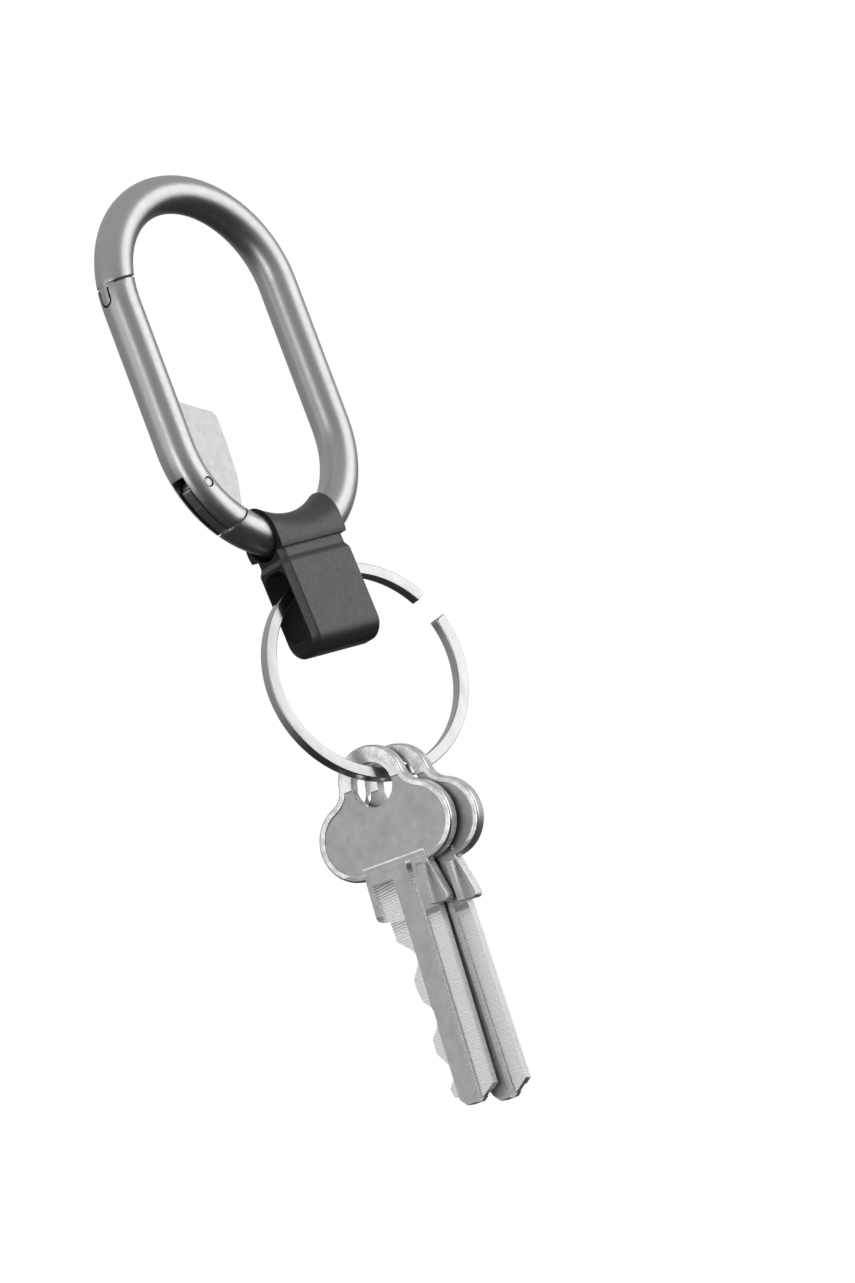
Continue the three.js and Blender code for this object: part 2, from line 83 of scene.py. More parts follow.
class OrganiserLoopSizes(bpy.types.PropertyGroup):
    """The carabiner's rod, gate and thumb fin."""

    rod_radius: length_prop("Rod radius", "Half the thickness of the round rod", 2.925 * MM)
    bend_radius: length_prop(
        "Bend radius", "From a bend's centre to the rod's centre line", ROD_HIGH.x - 2.925 * MM)
    half_straight: length_prop("Half straight", "Half the length of a straight side", 11.55 * MM)
    middle_height: length_prop(
        "Middle height", "Height of the loop's middle", (ROD_LOW.z + ROD_HIGH.z) / 2)
    running_gap: length_prop("Running gap", "Gap between the gate and the rod's ends", 0.3 * MM)
    nose_rise: length_prop(
        "Nose rise", "Height of the nose seam above the foot of the upper bend", 3.9 * MM)
    nose_slope: angle_prop("Nose slope", "Slope of the nose seam", 5)
    knuckle_radius: length_prop(
        "Knuckle radius", "From the hinge pin to the gate's round tail", 7.6 * MM)
    pin_angle: angle_prop("Pin angle", "How far the hinge pin lies round the lower bend", 23.5)
    fin_thickness: length_prop("Fin thickness", "Thickness of the thumb fin", 1.3 * MM)
    edge: length_prop("Edge", "Width of the small chamfers at the seams", 0.09 * MM)


class OrganiserConnectorSizes(bpy.types.PropertyGroup):
    """The moulded connector between the rod and the ring."""

    slide: angle_prop("Slide", "How far the connector has slid round the lower bend", 2.5)
    yaw: angle_prop("Yaw", "Small turn of the connector about its upright line", -4)
    drop: length_prop("Drop", "Play of the connector below the rod's centre line", 0.25 * MM)
    lobe_radius: length_prop("Lobe radius", "Outside radius of the part around the rod", 4.15 * MM)
    lobe_length: length_prop("Lobe length", "Length of that part along the rod", 13.2 * MM)
    bore_radius: length_prop("Bore radius", "Radius of the hole for the rod", 3.45 * MM)
    plate_length: length_prop("Plate length", "Width of the lower plate across its front", 14 * MM)
    plate_thickness: length_prop("Plate thickness", "Thickness of the lower plate", 7.5 * MM)
    plate_bottom: length_prop(
        "Plate bottom", "Height of the plate's foot from the rod's centre line", -18 * MM)
    slot_width: length_prop("Slot width", "Width of the slot for the ring", 5.2 * MM)


class OrganiserRingSizes(bpy.types.PropertyGroup):
    """The open key ring."""

    outer_radius: length_prop("Outer radius", "Outside radius of the ring", 17.1 * MM)
    inner_radius: length_prop("Inner radius", "Inside radius of the ring", 15.3 * MM)
    thickness: length_prop("Thickness", "Thickness of the ring along its axis", 1.9 * MM)
    gap_angle: angle_prop("Opening", "Angle of the ring's opening", 14.5)
    gap_middle: angle_prop(
        "Opening's place", "Angle of the opening's middle above the right side", 26)
    yaw: angle_prop("Yaw", "Turn of the ring about its upright line", -13.2)


class OrganiserKeySizes(bpy.types.PropertyGroup):
    """The two house keys."""

    thickness: length_prop("Thickness", "Thickness of a key", 2.2 * MM)
    hole_radius: length_prop("Hole radius", "Radius of the hole in the bow", 3.4 * MM)
    rim_width: length_prop("Rim width", "Width of the raised rim round the bow", 1.0 * MM)
    recess_depth: length_prop("Recess depth", "Depth of the bow's sunk field", 0.25 * MM)
    yaw: angle_prop("Yaw", "Turn of the hanging keys about the upright line", -71.6)


class OrganiserFinishes(bpy.types.PropertyGroup):
    """Colours of the finishes."""

    satin: colour_prop("Carabiner", "Satin metal of the rod and gate", (0.50, 0.50, 0.495))
    steel: colour_prop("Ring", "Bright satin steel of the key ring", (0.50, 0.50, 0.495))
    nickel: colour_prop("Key face", "Worn nickel plate on the keys' flat faces", (0.50, 0.50, 0.49))
    # Near white: polished nickel, and painted highlight on the rim, the edges and the hole.
    rim: colour_prop(
        "Key rim", "Polished nickel of the raised rim, the edges and the hole", (0.93, 0.93, 0.92))
    # Near white: fresh-cut metal, and painted sheen where the milled ribs catch the light.
    milled: colour_prop("Key cuts", "Bright metal where a key is milled or cut", (0.98, 0.98, 0.97))
    plastic: colour_prop("Connector", "Charcoal moulding of the connector", (0.022, 0.022, 0.023))
    backdrop: colour_prop("Backdrop", "White of the studio", (1.0, 1.0, 1.0))


class OrganiserStageSizes(bpy.types.PropertyGroup):
    """Camera, floor, and the sides of round rods and holes."""

    azimuth: angle_prop("Camera azimuth", "Camera's place round the object", -46.5)
    elevation: angle_prop("Camera elevation", "Camera's angle above the horizon", -9.7)
    roll: angle_prop("Camera roll", "Turn of the camera about its line of sight", 20.7)
    distance: length_prop("Camera distance", "From the camera to the point it looks at", 1.3083)
    lens: FloatProperty(
        name="Lens", description="Focal length in millimetres", default=244.1)
    floor_height: length_prop("Floor height", "Height of the floor below the hanging object", -0.42)
    round_sides: IntProperty(
        name="Round sides", description="Sides of a round rod or hole", default=64, min=16)


# ---------------------------------------------------------------- modelling tools


def select_none():
    if bpy.context.mode != "OBJECT":
        bpy.ops.object.mode_set(mode="OBJECT")
    bpy.ops.object.select_all(action="DESELECT")


def take(obj):
    select_none()
    obj.select_set(True)
    bpy.context.view_layer.objects.active = obj


def name_new(name):
    """Names the primitive that was just added, and puts its place in its mesh."""
    obj = bpy.context.object
    obj.name = name
    obj.data.name = name
    bpy.ops.object.transform_apply(location=True, rotation=True, scale=True)
    return obj


def place(obj, matrix):
    """Moves a finished shape to its place, which goes in its mesh."""
    take(obj)
    obj.matrix_world = matrix
    bpy.ops.object.transform_apply(location=True, rotation=True, scale=True)
    return obj


def edit(obj, mode="FACE"):
    take(obj)
    bpy.ops.object.mode_set(mode="EDIT")
    bpy.ops.mesh.select_mode(type=mode)
    bpy.ops.mesh.select_all(action="DESELECT")
    return bmesh.from_edit_mesh(obj.data)


def leave():
    bpy.ops.object.mode_set(mode="OBJECT")


def choose(obj, items, test):
    """Selects the faces, edges or vertices that pass a test."""
    chosen = [item for item in items if test(item)]
    if not chosen:
        raise RuntimeError(f"nothing to select on {obj.name}")
    for item in chosen:
        item.select_set(True)
    bmesh.update_edit_mesh(obj.data)


def combine(target, tool, operation):
    """Joins a tool shape to a piece, cuts it out, or keeps what they share."""
    take(target)
    modifier = target.modifiers.new("Combine", "BOOLEAN")
    modifier.operation = operation
    modifier.solver = "EXACT"
    modifier.object = tool
    bpy.ops.object.modifier_apply(modifier=modifier.name)
    bpy.data.objects.remove(tool)
    return target


def cut(target, tool):
    return combine(target, tool, "DIFFERENCE")


def add(target, tool):
    return combine(target, tool, "UNION")


def keep_shared(target, tool):
    return combine(target, tool, "INTERSECT")


def close_shape():
    """Turns all faces outwards and leaves edit mode."""
    bpy.ops.mesh.select_all(action="SELECT")
    bpy.ops.mesh.normals_make_consistent(inside=False)
    leave()


def mark_faces(obj, test, slot):
    """Gives the faces that pass a test another of the piece's finishes."""
    mesh = edit(obj)
    choose(obj, mesh.faces, test)
    obj.active_material_index = slot
    bpy.ops.object.material_slot_assign()
    leave()


def bevel_edges(obj, test, width, segments=2):
    """Bevels the sharp edges that pass a test."""
    mesh = edit(obj, "EDGE")
    choose(obj, mesh.edges, lambda e: is_sharp(e) and test(e))
    bpy.ops.mesh.bevel(offset=width, segments=segments, profile=0.5, affect="EDGES", clamp_overlap=True)
    leave()


def is_sharp(edge, angle=math.radians(28)):
    return len(edge.link_faces) == 2 and edge.calc_face_angle(0) > angle


def middle(edge):
    return (edge.verts[0].co + edge.verts[1].co) / 2


def near(value, wanted, reach=0.01 * MM):
    return abs(value - wanted) < reach


def soften(obj, width, segments=2, angle=35):
    """Rounds every sharp edge of a piece."""
    take(obj)
    modifier = obj.modifiers.new("Soften", "BEVEL")
    modifier.width = width
    modifier.segments = segments
    modifier.limit_method = "ANGLE"
    modifier.angle_limit = math.radians(angle)
    modifier.use_clamp_overlap = True
    bpy.ops.object.modifier_apply(modifier=modifier.name)


def smooth(obj, angle=32):
    """Smooths the shading up to an angle, and keeps the large flat faces flat."""
    take(obj)
    bpy.ops.object.shade_smooth_by_angle(angle=math.radians(angle))
    modifier = obj.modifiers.new("Level", "WEIGHTED_NORMAL")
    modifier.keep_sharp = True
    modifier.weight = 80
    bpy.ops.object.modifier_apply(modifier=modifier.name)


def block(name, low, high):
    """Box from its low corner to its high corner."""
    size = [b - a for a, b in zip(low, high)]
    centre = [(a + b) / 2 for a, b in zip(low, high)]
    select_none()
    bpy.ops.mesh.primitive_cube_add(size=1, location=centre, scale=size)
    return name_new(name)


def round_bar(name, x, z, radius, length, sides=64):
    """Round bar along Y."""
    select_none()
    bpy.ops.mesh.primitive_cylinder_add(
        vertices=sides, radius=radius, depth=length, location=(x, 0, z), rotation=(math.pi / 2, 0, 0))
    return name_new(name)


def plate(name, outline, thickness, along="Y"):
    """Flat plate: an outline in the XZ plane (or YZ), thickened about its middle plane."""
    select_none()
    bpy.ops.mesh.primitive_circle_add(vertices=len(outline), radius=MM, fill_type="NGON")
    obj = name_new(name)
    mesh = edit(obj, "VERT")
    mesh.verts.ensure_lookup_table()
    for vertex, (across, up) in zip(mesh.verts, outline):
        if along == "Y":
            vertex.co = (across, -thickness / 2, up)
        else:
            vertex.co = (-thickness / 2, across, up)
    bmesh.update_edit_mesh(obj.data)
    bpy.ops.mesh.select_all(action="SELECT")
    move = (0, thickness, 0) if along == "Y" else (thickness, 0, 0)
    bpy.ops.mesh.extrude_region_move(TRANSFORM_OT_translate={"value": move})
    close_shape()
    return obj


def arc(centre, radius, start, end, steps):
    """Points of an arc, its angles in degrees."""
    points = []
    for i in range(steps + 1):
        angle = math.radians(start + (end - start) * i / steps)
        points.append((centre[0] + radius * math.cos(angle), centre[1] + radius * math.sin(angle)))
    return points


def rounded(corners, steps=6):
    """Outline with round corners: each corner is (across, up, radius), in metres."""
    points = []
    count = len(corners)
    for i, (x, y, radius) in enumerate(corners):
        here = Vector((x, y))
        before = (Vector(corners[i - 1][:2]) - here).normalized()
        after = (Vector(corners[(i + 1) % count][:2]) - here).normalized()
        half = before.angle(after) / 2
        if radius <= 0 or half > math.radians(88):
            points.append((x, y))
            continue
        reach = radius / math.tan(half)
        centre = here + (before + after).normalized() * (radius / math.sin(half))
        start = here + before * reach - centre
        end = here + after * reach - centre
        turn = start.angle_signed(end)
        for k in range(steps + 1):
            turned = start.copy()
            turned.rotate(Matrix.Rotation(-turn * k / steps, 2))
            points.append(tuple(centre + turned))
    return points


# ---------------------------------------------------------------- finishes


class Finish:
    """A material while it is made: its shader, and patterns laid on the object's own place."""

    def __init__(self, name, metallic=1.0):
        self.material = bpy.data.materials.new(name)
        self.material.use_nodes = True
        self.nodes = self.material.node_tree.nodes
        self.links = self.material.node_tree.links
        self.shader = self.nodes["Principled BSDF"]
        self.shader.inputs["Metallic"].default_value = metallic
        self.place = self.nodes.new("ShaderNodeTexCoord").outputs["Object"]

    def node(self, kind, **values):
        """New node, with its unlinked inputs set by name."""
        made = self.nodes.new("ShaderNode" + kind)
        for name, value in values.items():
            made.inputs[name.replace("_", " ")].default_value = value
        return made

    def noise(self, scale, detail=3.0, roughness=0.5, stretch=None, turn=(0, 0, 0)):
        """Noise, stretched along an axis where a finish has a grain."""
        source = self.place
        if stretch is not None:
            mapping = self.node("Mapping", Scale=stretch, Rotation=turn)
            self.links.new(source, mapping.inputs["Vector"])
            source = mapping.outputs["Vector"]
        texture = self.node("TexNoise", Scale=scale, Detail=detail, Roughness=roughness)
        self.links.new(source, texture.inputs["Vector"])
        return texture.outputs["Fac"]

    def spread(self, value, low, high, start=0.3, end=0.7):
        """Maps a pattern's middle range to a low and a high value."""
        ramp = self.node("MapRange", From_Min=start, From_Max=end, To_Min=low, To_Max=high)
        self.links.new(value, ramp.inputs["Value"])
        return ramp.outputs["Result"]

    def colour(self, value, colour, low, high):
        """Base colour that varies between a darker and a lighter share of itself."""
        mix = self.nodes.new("ShaderNodeMix")
        mix.data_type = "RGBA"
        mix.inputs["A"].default_value = (*[c * low for c in colour], 1)
        mix.inputs["B"].default_value = (*[min(c * high, 1) for c in colour], 1)
        self.links.new(value, mix.inputs["Factor"])
        self.links.new(mix.outputs["Result"], self.shader.inputs["Base Color"])

    def gloss(self, value, low, high):
        """Roughness that follows a pattern."""
        self.links.new(self.spread(value, low, high), self.shader.inputs["Roughness"])

    def bump(self, height, strength, distance, under=None):
        """Fine relief, which may lie on another relief."""
        relief = self.node("Bump", Strength=strength, Distance=distance)
        self.links.new(height, relief.inputs["Height"])
        if under is not None:
            self.links.new(under, relief.inputs["Normal"])
        self.links.new(relief.outputs["Normal"], self.shader.inputs["Normal"])
        return relief.outputs["Normal"]


def satin_metal(name, colour, roughness, blotch=0.05):
    """Fine blasted metal: even grain, faint clouds of colour and gloss."""
    grain = 0.16 * MM
    finish = Finish(name)
    finish.colour(finish.noise(260, 4), colour, 1 - blotch, 1 + blotch)
    finish.gloss(finish.noise(900, 3), roughness - 0.03, roughness + 0.04)
    finish.bump(finish.noise(1 / grain, 2), 0.35, 0.004 * MM)
    return finish.material


def ring_steel(name, colour):
    """Bright drawn steel with a faint grain and a few handling marks."""
    finish = Finish(name)
    finish.colour(finish.noise(420, 4), colour, 0.95, 1.04)
    finish.gloss(finish.noise(700, 5, stretch=(1, 1, 0.25), turn=(0, 0.5, 0)), 0.17, 0.26)
    finish.bump(finish.noise(2200, 2), 0.05, 0.002 * MM)
    return finish.material


def worn_nickel(name, colour, turn):
    """Worn nickel plate: clouded gloss, dull stains and fine scratches in two directions."""
    finish = Finish(name)
    finish.colour(finish.spread(finish.noise(330, 6, 0.6), 0, 1), colour, 0.90, 1.07)
    finish.gloss(finish.noise(620, 5, 0.6), 0.36, 0.50)
    across = finish.noise(2600, 4, 0.7, stretch=(1, 1, 0.09), turn=(0.35, 0.2, turn))
    along = finish.noise(2400, 4, 0.7, stretch=(1, 0.1, 1), turn=(-0.5, 0.2, turn))
    first = finish.bump(across, 0.22, 0.006 * MM)
    finish.bump(along, 0.18, 0.005 * MM, under=first)
    return finish.material


def polished_highlit_nickel(name, colour):
    """Rubbed bright nickel of edges and rims, near white as partly painted highlight, with small dull
    spots.
    """
    finish = Finish(name)
    spots = finish.noise(780, 6, 0.65)
    finish.colour(finish.spread(spots, 0, 1, 0.38, 0.6), colour, 0.74, 1.05)
    finish.gloss(spots, 0.36, 0.22)
    finish.bump(finish.noise(1500, 4, 0.6), 0.3, 0.012 * MM)
    return finish.material


def milled_metal_and_sheen(name, colour, turn, pitch):
    """Milled metal, near white as partly painted sheen: close cutter ribs across the blade, broken up by
    noise.
    """
    waves_per_scale = 0.314
    finish = Finish(name)
    mapping = finish.node("Mapping", Rotation=(0, 0.08, -turn))
    finish.links.new(finish.place, mapping.inputs["Vector"])
    ribs = finish.node("TexWave", Scale=waves_per_scale / pitch, Distortion=4.0, Detail=2.0,
                       Detail_Scale=2.5)
    ribs.wave_type = "BANDS"
    ribs.bands_direction = "Z"
    finish.links.new(mapping.outputs["Vector"], ribs.inputs["Vector"])
    patches = finish.noise(900, 4, 0.6)
    blend = finish.nodes.new("ShaderNodeMath")
    blend.operation = "MULTIPLY"
    finish.links.new(finish.spread(ribs.outputs["Fac"], 0.25, 1, 0.0, 0.55), blend.inputs[0])
    finish.links.new(finish.spread(patches, 0.6, 1), blend.inputs[1])
    finish.colour(blend.outputs["Value"], colour, 0.74, 1.0)
    finish.gloss(patches, 0.38, 0.5)
    first = finish.bump(ribs.outputs["Fac"], 0.5, 0.03 * MM)
    finish.bump(finish.noise(4200, 3), 0.3, 0.006 * MM, under=first)
    return finish.material


def moulded_plastic(name, colour, gloss_level=1.0):
    """Charcoal moulding with an even, finely sparked grain."""
    finish = Finish(name, metallic=0.0)
    finish.shader.inputs["Specular IOR Level"].default_value = gloss_level
    finish.colour(finish.noise(500, 4), colour, 0.86, 1.14)
    finish.gloss(finish.noise(1500, 3), 0.42, 0.5)
    first = finish.bump(finish.noise(2600, 3, 0.6), 0.75, 0.022 * MM)
    finish.bump(finish.noise(7000, 2), 0.3, 0.006 * MM, under=first)
    return finish.material


def dress(obj, body, slot, *materials):
    """Gives a finished piece its finishes and its body. The slot argument is not used."""
    for index, material in enumerate(materials):
        if index < len(obj.data.materials):
            obj.data.materials[index] = material
        else:
            obj.data.materials.append(material)
    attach(obj, body)


# ---------------------------------------------------------------- the carabiner


def loop_sizes(context):
    return context.scene.organiser_loop


def bend_place(sizes, angle, radius):
    """Point of the lower left bend, at an angle below the left side."""
    return (-radius * math.cos(angle),
            sizes.middle_height - sizes.half_straight - radius * math.sin(angle))


def pin_place(sizes):
    return bend_place(sizes, sizes.pin_angle, sizes.bend_radius)


def spin_about(sizes, upper, angle, steps):
    """Sweeps the selected section round one of the loop's two bends."""
    height = sizes.middle_height + (sizes.half_straight if upper else -sizes.half_straight)
    bpy.ops.mesh.spin(steps=steps, angle=angle, center=(0, 0, height), axis=(0, 1, 0), use_auto_merge=False)


def tube(name, context, radius, start_angle, moves, section=None):
    """Bar that starts on the lower left bend and follows the loop by the given moves.

    It is round, unless it gets a section as points (towards the loop's inside, sideways)."""
    sizes = loop_sizes(context)
    sides = len(section) if section else context.scene.organiser_stage.round_sides
    x, z = bend_place(sizes, start_angle, sizes.bend_radius)
    select_none()
    bpy.ops.mesh.primitive_circle_add(
        vertices=sides, radius=radius, fill_type="NGON", location=(x, 0, z), rotation=(0, -start_angle, 0))
    obj = name_new(name)
    mesh = edit(obj)
    if section:
        for vertex, (inward, sideways) in zip(mesh.verts, section):
            vertex.co = (x + inward * math.cos(start_angle), sideways, z + inward * math.sin(start_angle))
        bmesh.update_edit_mesh(obj.data)
    bpy.ops.mesh.select_all(action="SELECT")
    for kind, amount, steps in moves:
        if kind == "straight":
            bpy.ops.mesh.extrude_region_move(TRANSFORM_OT_translate={"value": (0, 0, amount)})
        else:
            spin_about(sizes, kind == "upper", amount, steps)
    close_shape()
    return obj


def bisect_above(obj, point, normal):
    """Cuts off what lies beyond a plane and closes the cut."""
    edit(obj)
    bpy.ops.mesh.select_all(action="SELECT")
    bpy.ops.mesh.bisect(plane_co=point, plane_no=normal, use_fill=True, clear_outer=True)
    leave()


def nose_plane(sizes, shift):
    """Point and upward normal of the seam between the nose and the gate."""
    height = sizes.middle_height + sizes.half_straight + sizes.nose_rise + shift
    point = Vector((-sizes.bend_radius, 0, height))
    normal = Vector((-math.sin(sizes.nose_slope), 0, math.cos(sizes.nose_slope)))
    return point, normal


ROD_START = 35  # degrees below the left side where the full rod begins
GATE_START = 64  # degrees below the left side where the gate's bar is cut from

TONGUE_HALF = 0.8 * MM
TONGUE_DROP = 3.4 * MM  # below the seam
TONGUE_ROOT = 1.6 * MM  # above the seam
TONGUE_DEPTH = 2.4 * MM  # from the rod's outer side
TONGUE_TOOL = 6 * MM

TANG_THICKNESS = 1.7 * MM
TANG_LAP = 0.02 * MM  # keeps the flat sides of joined shapes apart
TANG_INSET = 0.5 * MM  # from the rod's outer side
TANG_EYE = 2.05 * MM
TANG_SLOT_WIDTH = 2.6 * MM
TANG_SLOT_DEPTH = 2.45 * MM  # inwards from the rod's centre line

THUMB_SWEEP = 9.6 * MM  # reach of the fin's foot from the pin as the gate opens
THUMB_CLEARANCE = 0.45 * MM
PIN_RADIUS = 0.65 * MM
PIN_HOLE = 0.86 * MM
MATCH = 0.02 * MM  # how close a face or edge lies to the place it is looked for at


def tongue_tool(name, sizes, clearance):
    """Tongue under the nose: a narrow tab with a round end on the rod's outer side."""
    half = TONGUE_HALF + clearance
    seam = sizes.middle_height + sizes.half_straight + sizes.nose_rise
    tip = seam - TONGUE_DROP - clearance
    top = seam + TONGUE_ROOT
    outline = [(half, top), (-half, top)] + arc((0, tip + half), half, 180, 360, 14)
    tab = plate(name, outline, TONGUE_TOOL, along="X")
    outer = -sizes.bend_radius - sizes.rod_radius
    reach = outer + TONGUE_DEPTH + clearance - TONGUE_TOOL / 2
    return place(tab, Matrix.Translation((reach, 0, 0)))


def bend_sector(name, sizes, start, end, inner, outer, width):
    """Flat sector of the lower left bend, between two angles and two radii."""
    count = 20
    outside = [bend_place(sizes, start + (end - start) * i / count, outer) for i in range(count + 1)]
    inside = [bend_place(sizes, end + (start - end) * i / count, inner) for i in range(count + 1)]
    return plate(name, outside + inside, width)


def hinge_tang(sizes):
    """Flat tang that leaves the rod's lower end and hooks round the hinge pin."""
    pin_x, pin_z = pin_place(sizes)
    outer = sizes.bend_radius + sizes.rod_radius - TANG_INSET
    tang = bend_sector("tang", sizes, math.radians(30), math.radians(60),
                       sizes.bend_radius + 0.75 * MM, outer, TANG_THICKNESS)
    corner = 0.3 * MM
    hook = plate("tang_hook", rounded([
        (pin_x - 2.0 * MM, pin_z + 0.2 * MM, corner),
        (*bend_place(sizes, math.radians(20), outer), 0.5 * MM),
        (*bend_place(sizes, math.radians(27), outer), 0),
        (*bend_place(sizes, math.radians(34), outer), 0),
        (*bend_place(sizes, math.radians(47), sizes.bend_radius + 1 * MM), 0),
        (*bend_place(sizes, math.radians(37), sizes.bend_radius - 0.3 * MM), corner),
        (*bend_place(sizes, math.radians(31.5), sizes.bend_radius - 1.25 * MM), corner),
        (pin_x + 1.2 * MM, pin_z + 1.2 * MM, corner),
    ]), TANG_THICKNESS - TANG_LAP)
    add(hook, round_bar("tang_eye", pin_x, pin_z, TANG_EYE, TANG_THICKNESS - 2 * TANG_LAP, 48))
    add(tang, hook)
    soften(tang, 0.1 * MM, 2)
    return tang


class ORGANISER_OT_rod(bpy.types.Operator):
    """Models the carabiner's bent rod with its nose, tongue and hinge tang"""

    bl_idname = "organiser.rod"
    bl_label = "Carabiner rod"

    def execute(self, context):
        sizes = loop_sizes(context)
        pin_x, pin_z = pin_place(sizes)
        straight = 2 * sizes.half_straight
        rod = tube("carabiner_rod", context, sizes.rod_radius, math.radians(ROD_START), [
            ("lower", math.radians(180 - ROD_START), 30),
            ("straight", straight, 1),
            ("upper", math.radians(180), 40),
        ])
        point, normal = nose_plane(sizes, 0)
        mesh = edit(rod)
        choose(rod, mesh.faces, lambda f: all(
            v.co.x < 0 and v.co.z > sizes.middle_height for v in f.verts))
        bpy.ops.mesh.bisect(plane_co=point, plane_no=normal, use_fill=True, clear_inner=True)
        leave()
        bevel_edges(rod, lambda e: on_plane(e, point, normal) and e.verts[0].co.x < 0, sizes.edge)
        knuckle = sizes.knuckle_radius + sizes.running_gap
        cut(rod, round_bar("knuckle_cut", pin_x, pin_z, knuckle, 12 * MM, 96))
        bevel_edges(rod, lambda e: on_round(e, pin_x, pin_z, knuckle), sizes.edge)
        slot_width = sizes.fin_thickness + 2 * sizes.running_gap
        thumb_slot = round_bar("thumb_slot", pin_x, pin_z, THUMB_SWEEP, slot_width, 96)
        foot = sizes.middle_height - sizes.half_straight
        reach = sizes.bend_radius + THUMB_CLEARANCE
        keep_shared(thumb_slot, round_bar("thumb_reach", 0, foot, reach, 6 * MM, 96))
        cut(rod, thumb_slot)
        add(rod, hinge_tang(sizes))
        tab = tongue_tool("tongue", sizes, 0)
        keep_shared(tab, tube("tongue_skin", context, sizes.rod_radius - 0.01 * MM, 0, [
            ("straight", straight, 1), ("upper", math.radians(-30), 6)]))
        soften(tab, 0.1 * MM, 2)
        add(rod, tab)
        smooth(rod)
        finish = satin_metal("rod_satin", context.scene.organiser_finishes.satin, 0.36)
        dress(rod, "carabiner", "carabiner_metal", finish)
        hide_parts("carabiner_body")
        return {"FINISHED"}


def on_plane(edge, point, normal):
    return all(abs((v.co - point).dot(normal)) < 0.01 * MM for v in edge.verts)


def on_round(edge, x, z, radius):
    return all(abs(math.hypot(v.co.x - x, v.co.z - z) - radius) < 0.03 * MM for v in edge.verts)


def fin_outline(sizes):
    """Thumb fin in the loop's middle plane: a slanted top, a bowed free edge and a short foot."""
    left = -sizes.bend_radius / MM
    corners = [
        (left, -2.4, 0), (left, -15, 0), (-11.4, -20, 0.5), (-8.3, -22.6, 0.8), (-6.85, -17.6, 6),
        (-6.45, -12, 8), (-6.5, -7.0, 1.6), (-8.5, -6.4, 3), (-13.0, -4.6, 1.2), (-13.9, -2.4, 0),
    ]
    base = sizes.middle_height
    return rounded([(x * MM, base + z * MM, r * MM) for x, z, r in corners])


class ORGANISER_OT_gate(bpy.types.Operator):
    """Models the gate: a round bar with a thumb fin, a slot for the tang and a slot for the tongue"""

    bl_idname = "organiser.gate"
    bl_label = "Gate"

    def execute(self, context):
        sizes = loop_sizes(context)
        pin_x, pin_z = pin_place(sizes)
        gate = tube("gate_bar", context, sizes.rod_radius, math.radians(GATE_START), [
            ("lower", math.radians(-GATE_START), 14),
            ("straight", 2 * sizes.half_straight, 1),
            ("upper", math.radians(-24), 6),
        ])
        point, normal = nose_plane(sizes, -1.5 * sizes.running_gap)
        bisect_above(gate, point, normal)
        bevel_edges(gate, lambda e: on_plane(e, point, normal), sizes.edge)
        past = bend_sector("past_tail", sizes, math.radians(34), math.radians(80),
                           6 * MM, 30 * MM, 14 * MM)
        knuckle = sizes.knuckle_radius
        cut(past, round_bar("tail_round", pin_x, pin_z, knuckle, 16 * MM, 96))
        cut(gate, past)
        bevel_edges(gate, lambda e: on_round(e, pin_x, pin_z, knuckle), sizes.edge)
        fin = plate("thumb_fin", fin_outline(sizes), sizes.fin_thickness)
        soften(fin, 0.16 * MM, 3)
        add(gate, fin)
        add(gate, fin_fillet(context, sizes))
        cut(gate, bend_sector("tang_slot", sizes, math.radians(14.7), math.radians(68),
                              sizes.bend_radius - TANG_SLOT_DEPTH,
                              sizes.bend_radius + 7 * MM, TANG_SLOT_WIDTH))
        cut(gate, tongue_tool("tongue_slot", sizes, sizes.running_gap))
        cut(gate, round_bar("pin_hole", pin_x, pin_z, PIN_HOLE, 12 * MM, 40))
        smooth(gate)
        colour = context.scene.organiser_finishes.satin
        finish = satin_metal("gate_satin", colour, 0.34)
        # The fin's flat faces get a darker, rougher copy of the satin: the darker colour is painted shade
        # that holds down the light the flat fin catches.
        fin_shade_finish = satin_metal("fin_painted_shade", [0.90 * c for c in colour], 0.42, blotch=0.02)
        gate.data.materials.append(finish)
        gate.data.materials.append(fin_shade_finish)
        half = sizes.fin_thickness / 2
        inside = -sizes.bend_radius + 1 * MM

        def on_shaded_fin(face):
            at = face.calc_center_median()
            return (abs(abs(at.y) - half) < MATCH and abs(face.normal.y) > 0.99 and at.x > inside)

        mark_faces(gate, on_shaded_fin, 1)
        dress(gate, "gate", "carabiner_metal", finish, fin_shade_finish)
        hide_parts("gate")
        return {"FINISHED"}


def fin_fillet(context, sizes):
    """Hollow fillet on both sides of the fin, swept along the bar and trimmed to the fin's outline."""
    fillet = 1.1 * MM
    half = sizes.fin_thickness / 2 - 0.02 * MM
    bar = sizes.rod_radius - 0.02 * MM
    out = half + fillet
    rise = math.sqrt((bar + fillet) ** 2 - out ** 2)
    start = math.degrees(math.atan2(-out, -rise))
    hollow = arc((rise, out), fillet, start, -90, 8)
    section = hollow + [(inward, -sideways) for inward, sideways in reversed(hollow)] + [(0.6 * bar, 0)]
    sweep = tube("fin_fillet", context, bar, math.radians(45), [
        ("lower", math.radians(-45), 12),
        ("straight", 2 * sizes.half_straight, 1),
    ], section)
    return keep_shared(sweep, plate("fin_trim", fin_outline(sizes), 6 * MM))


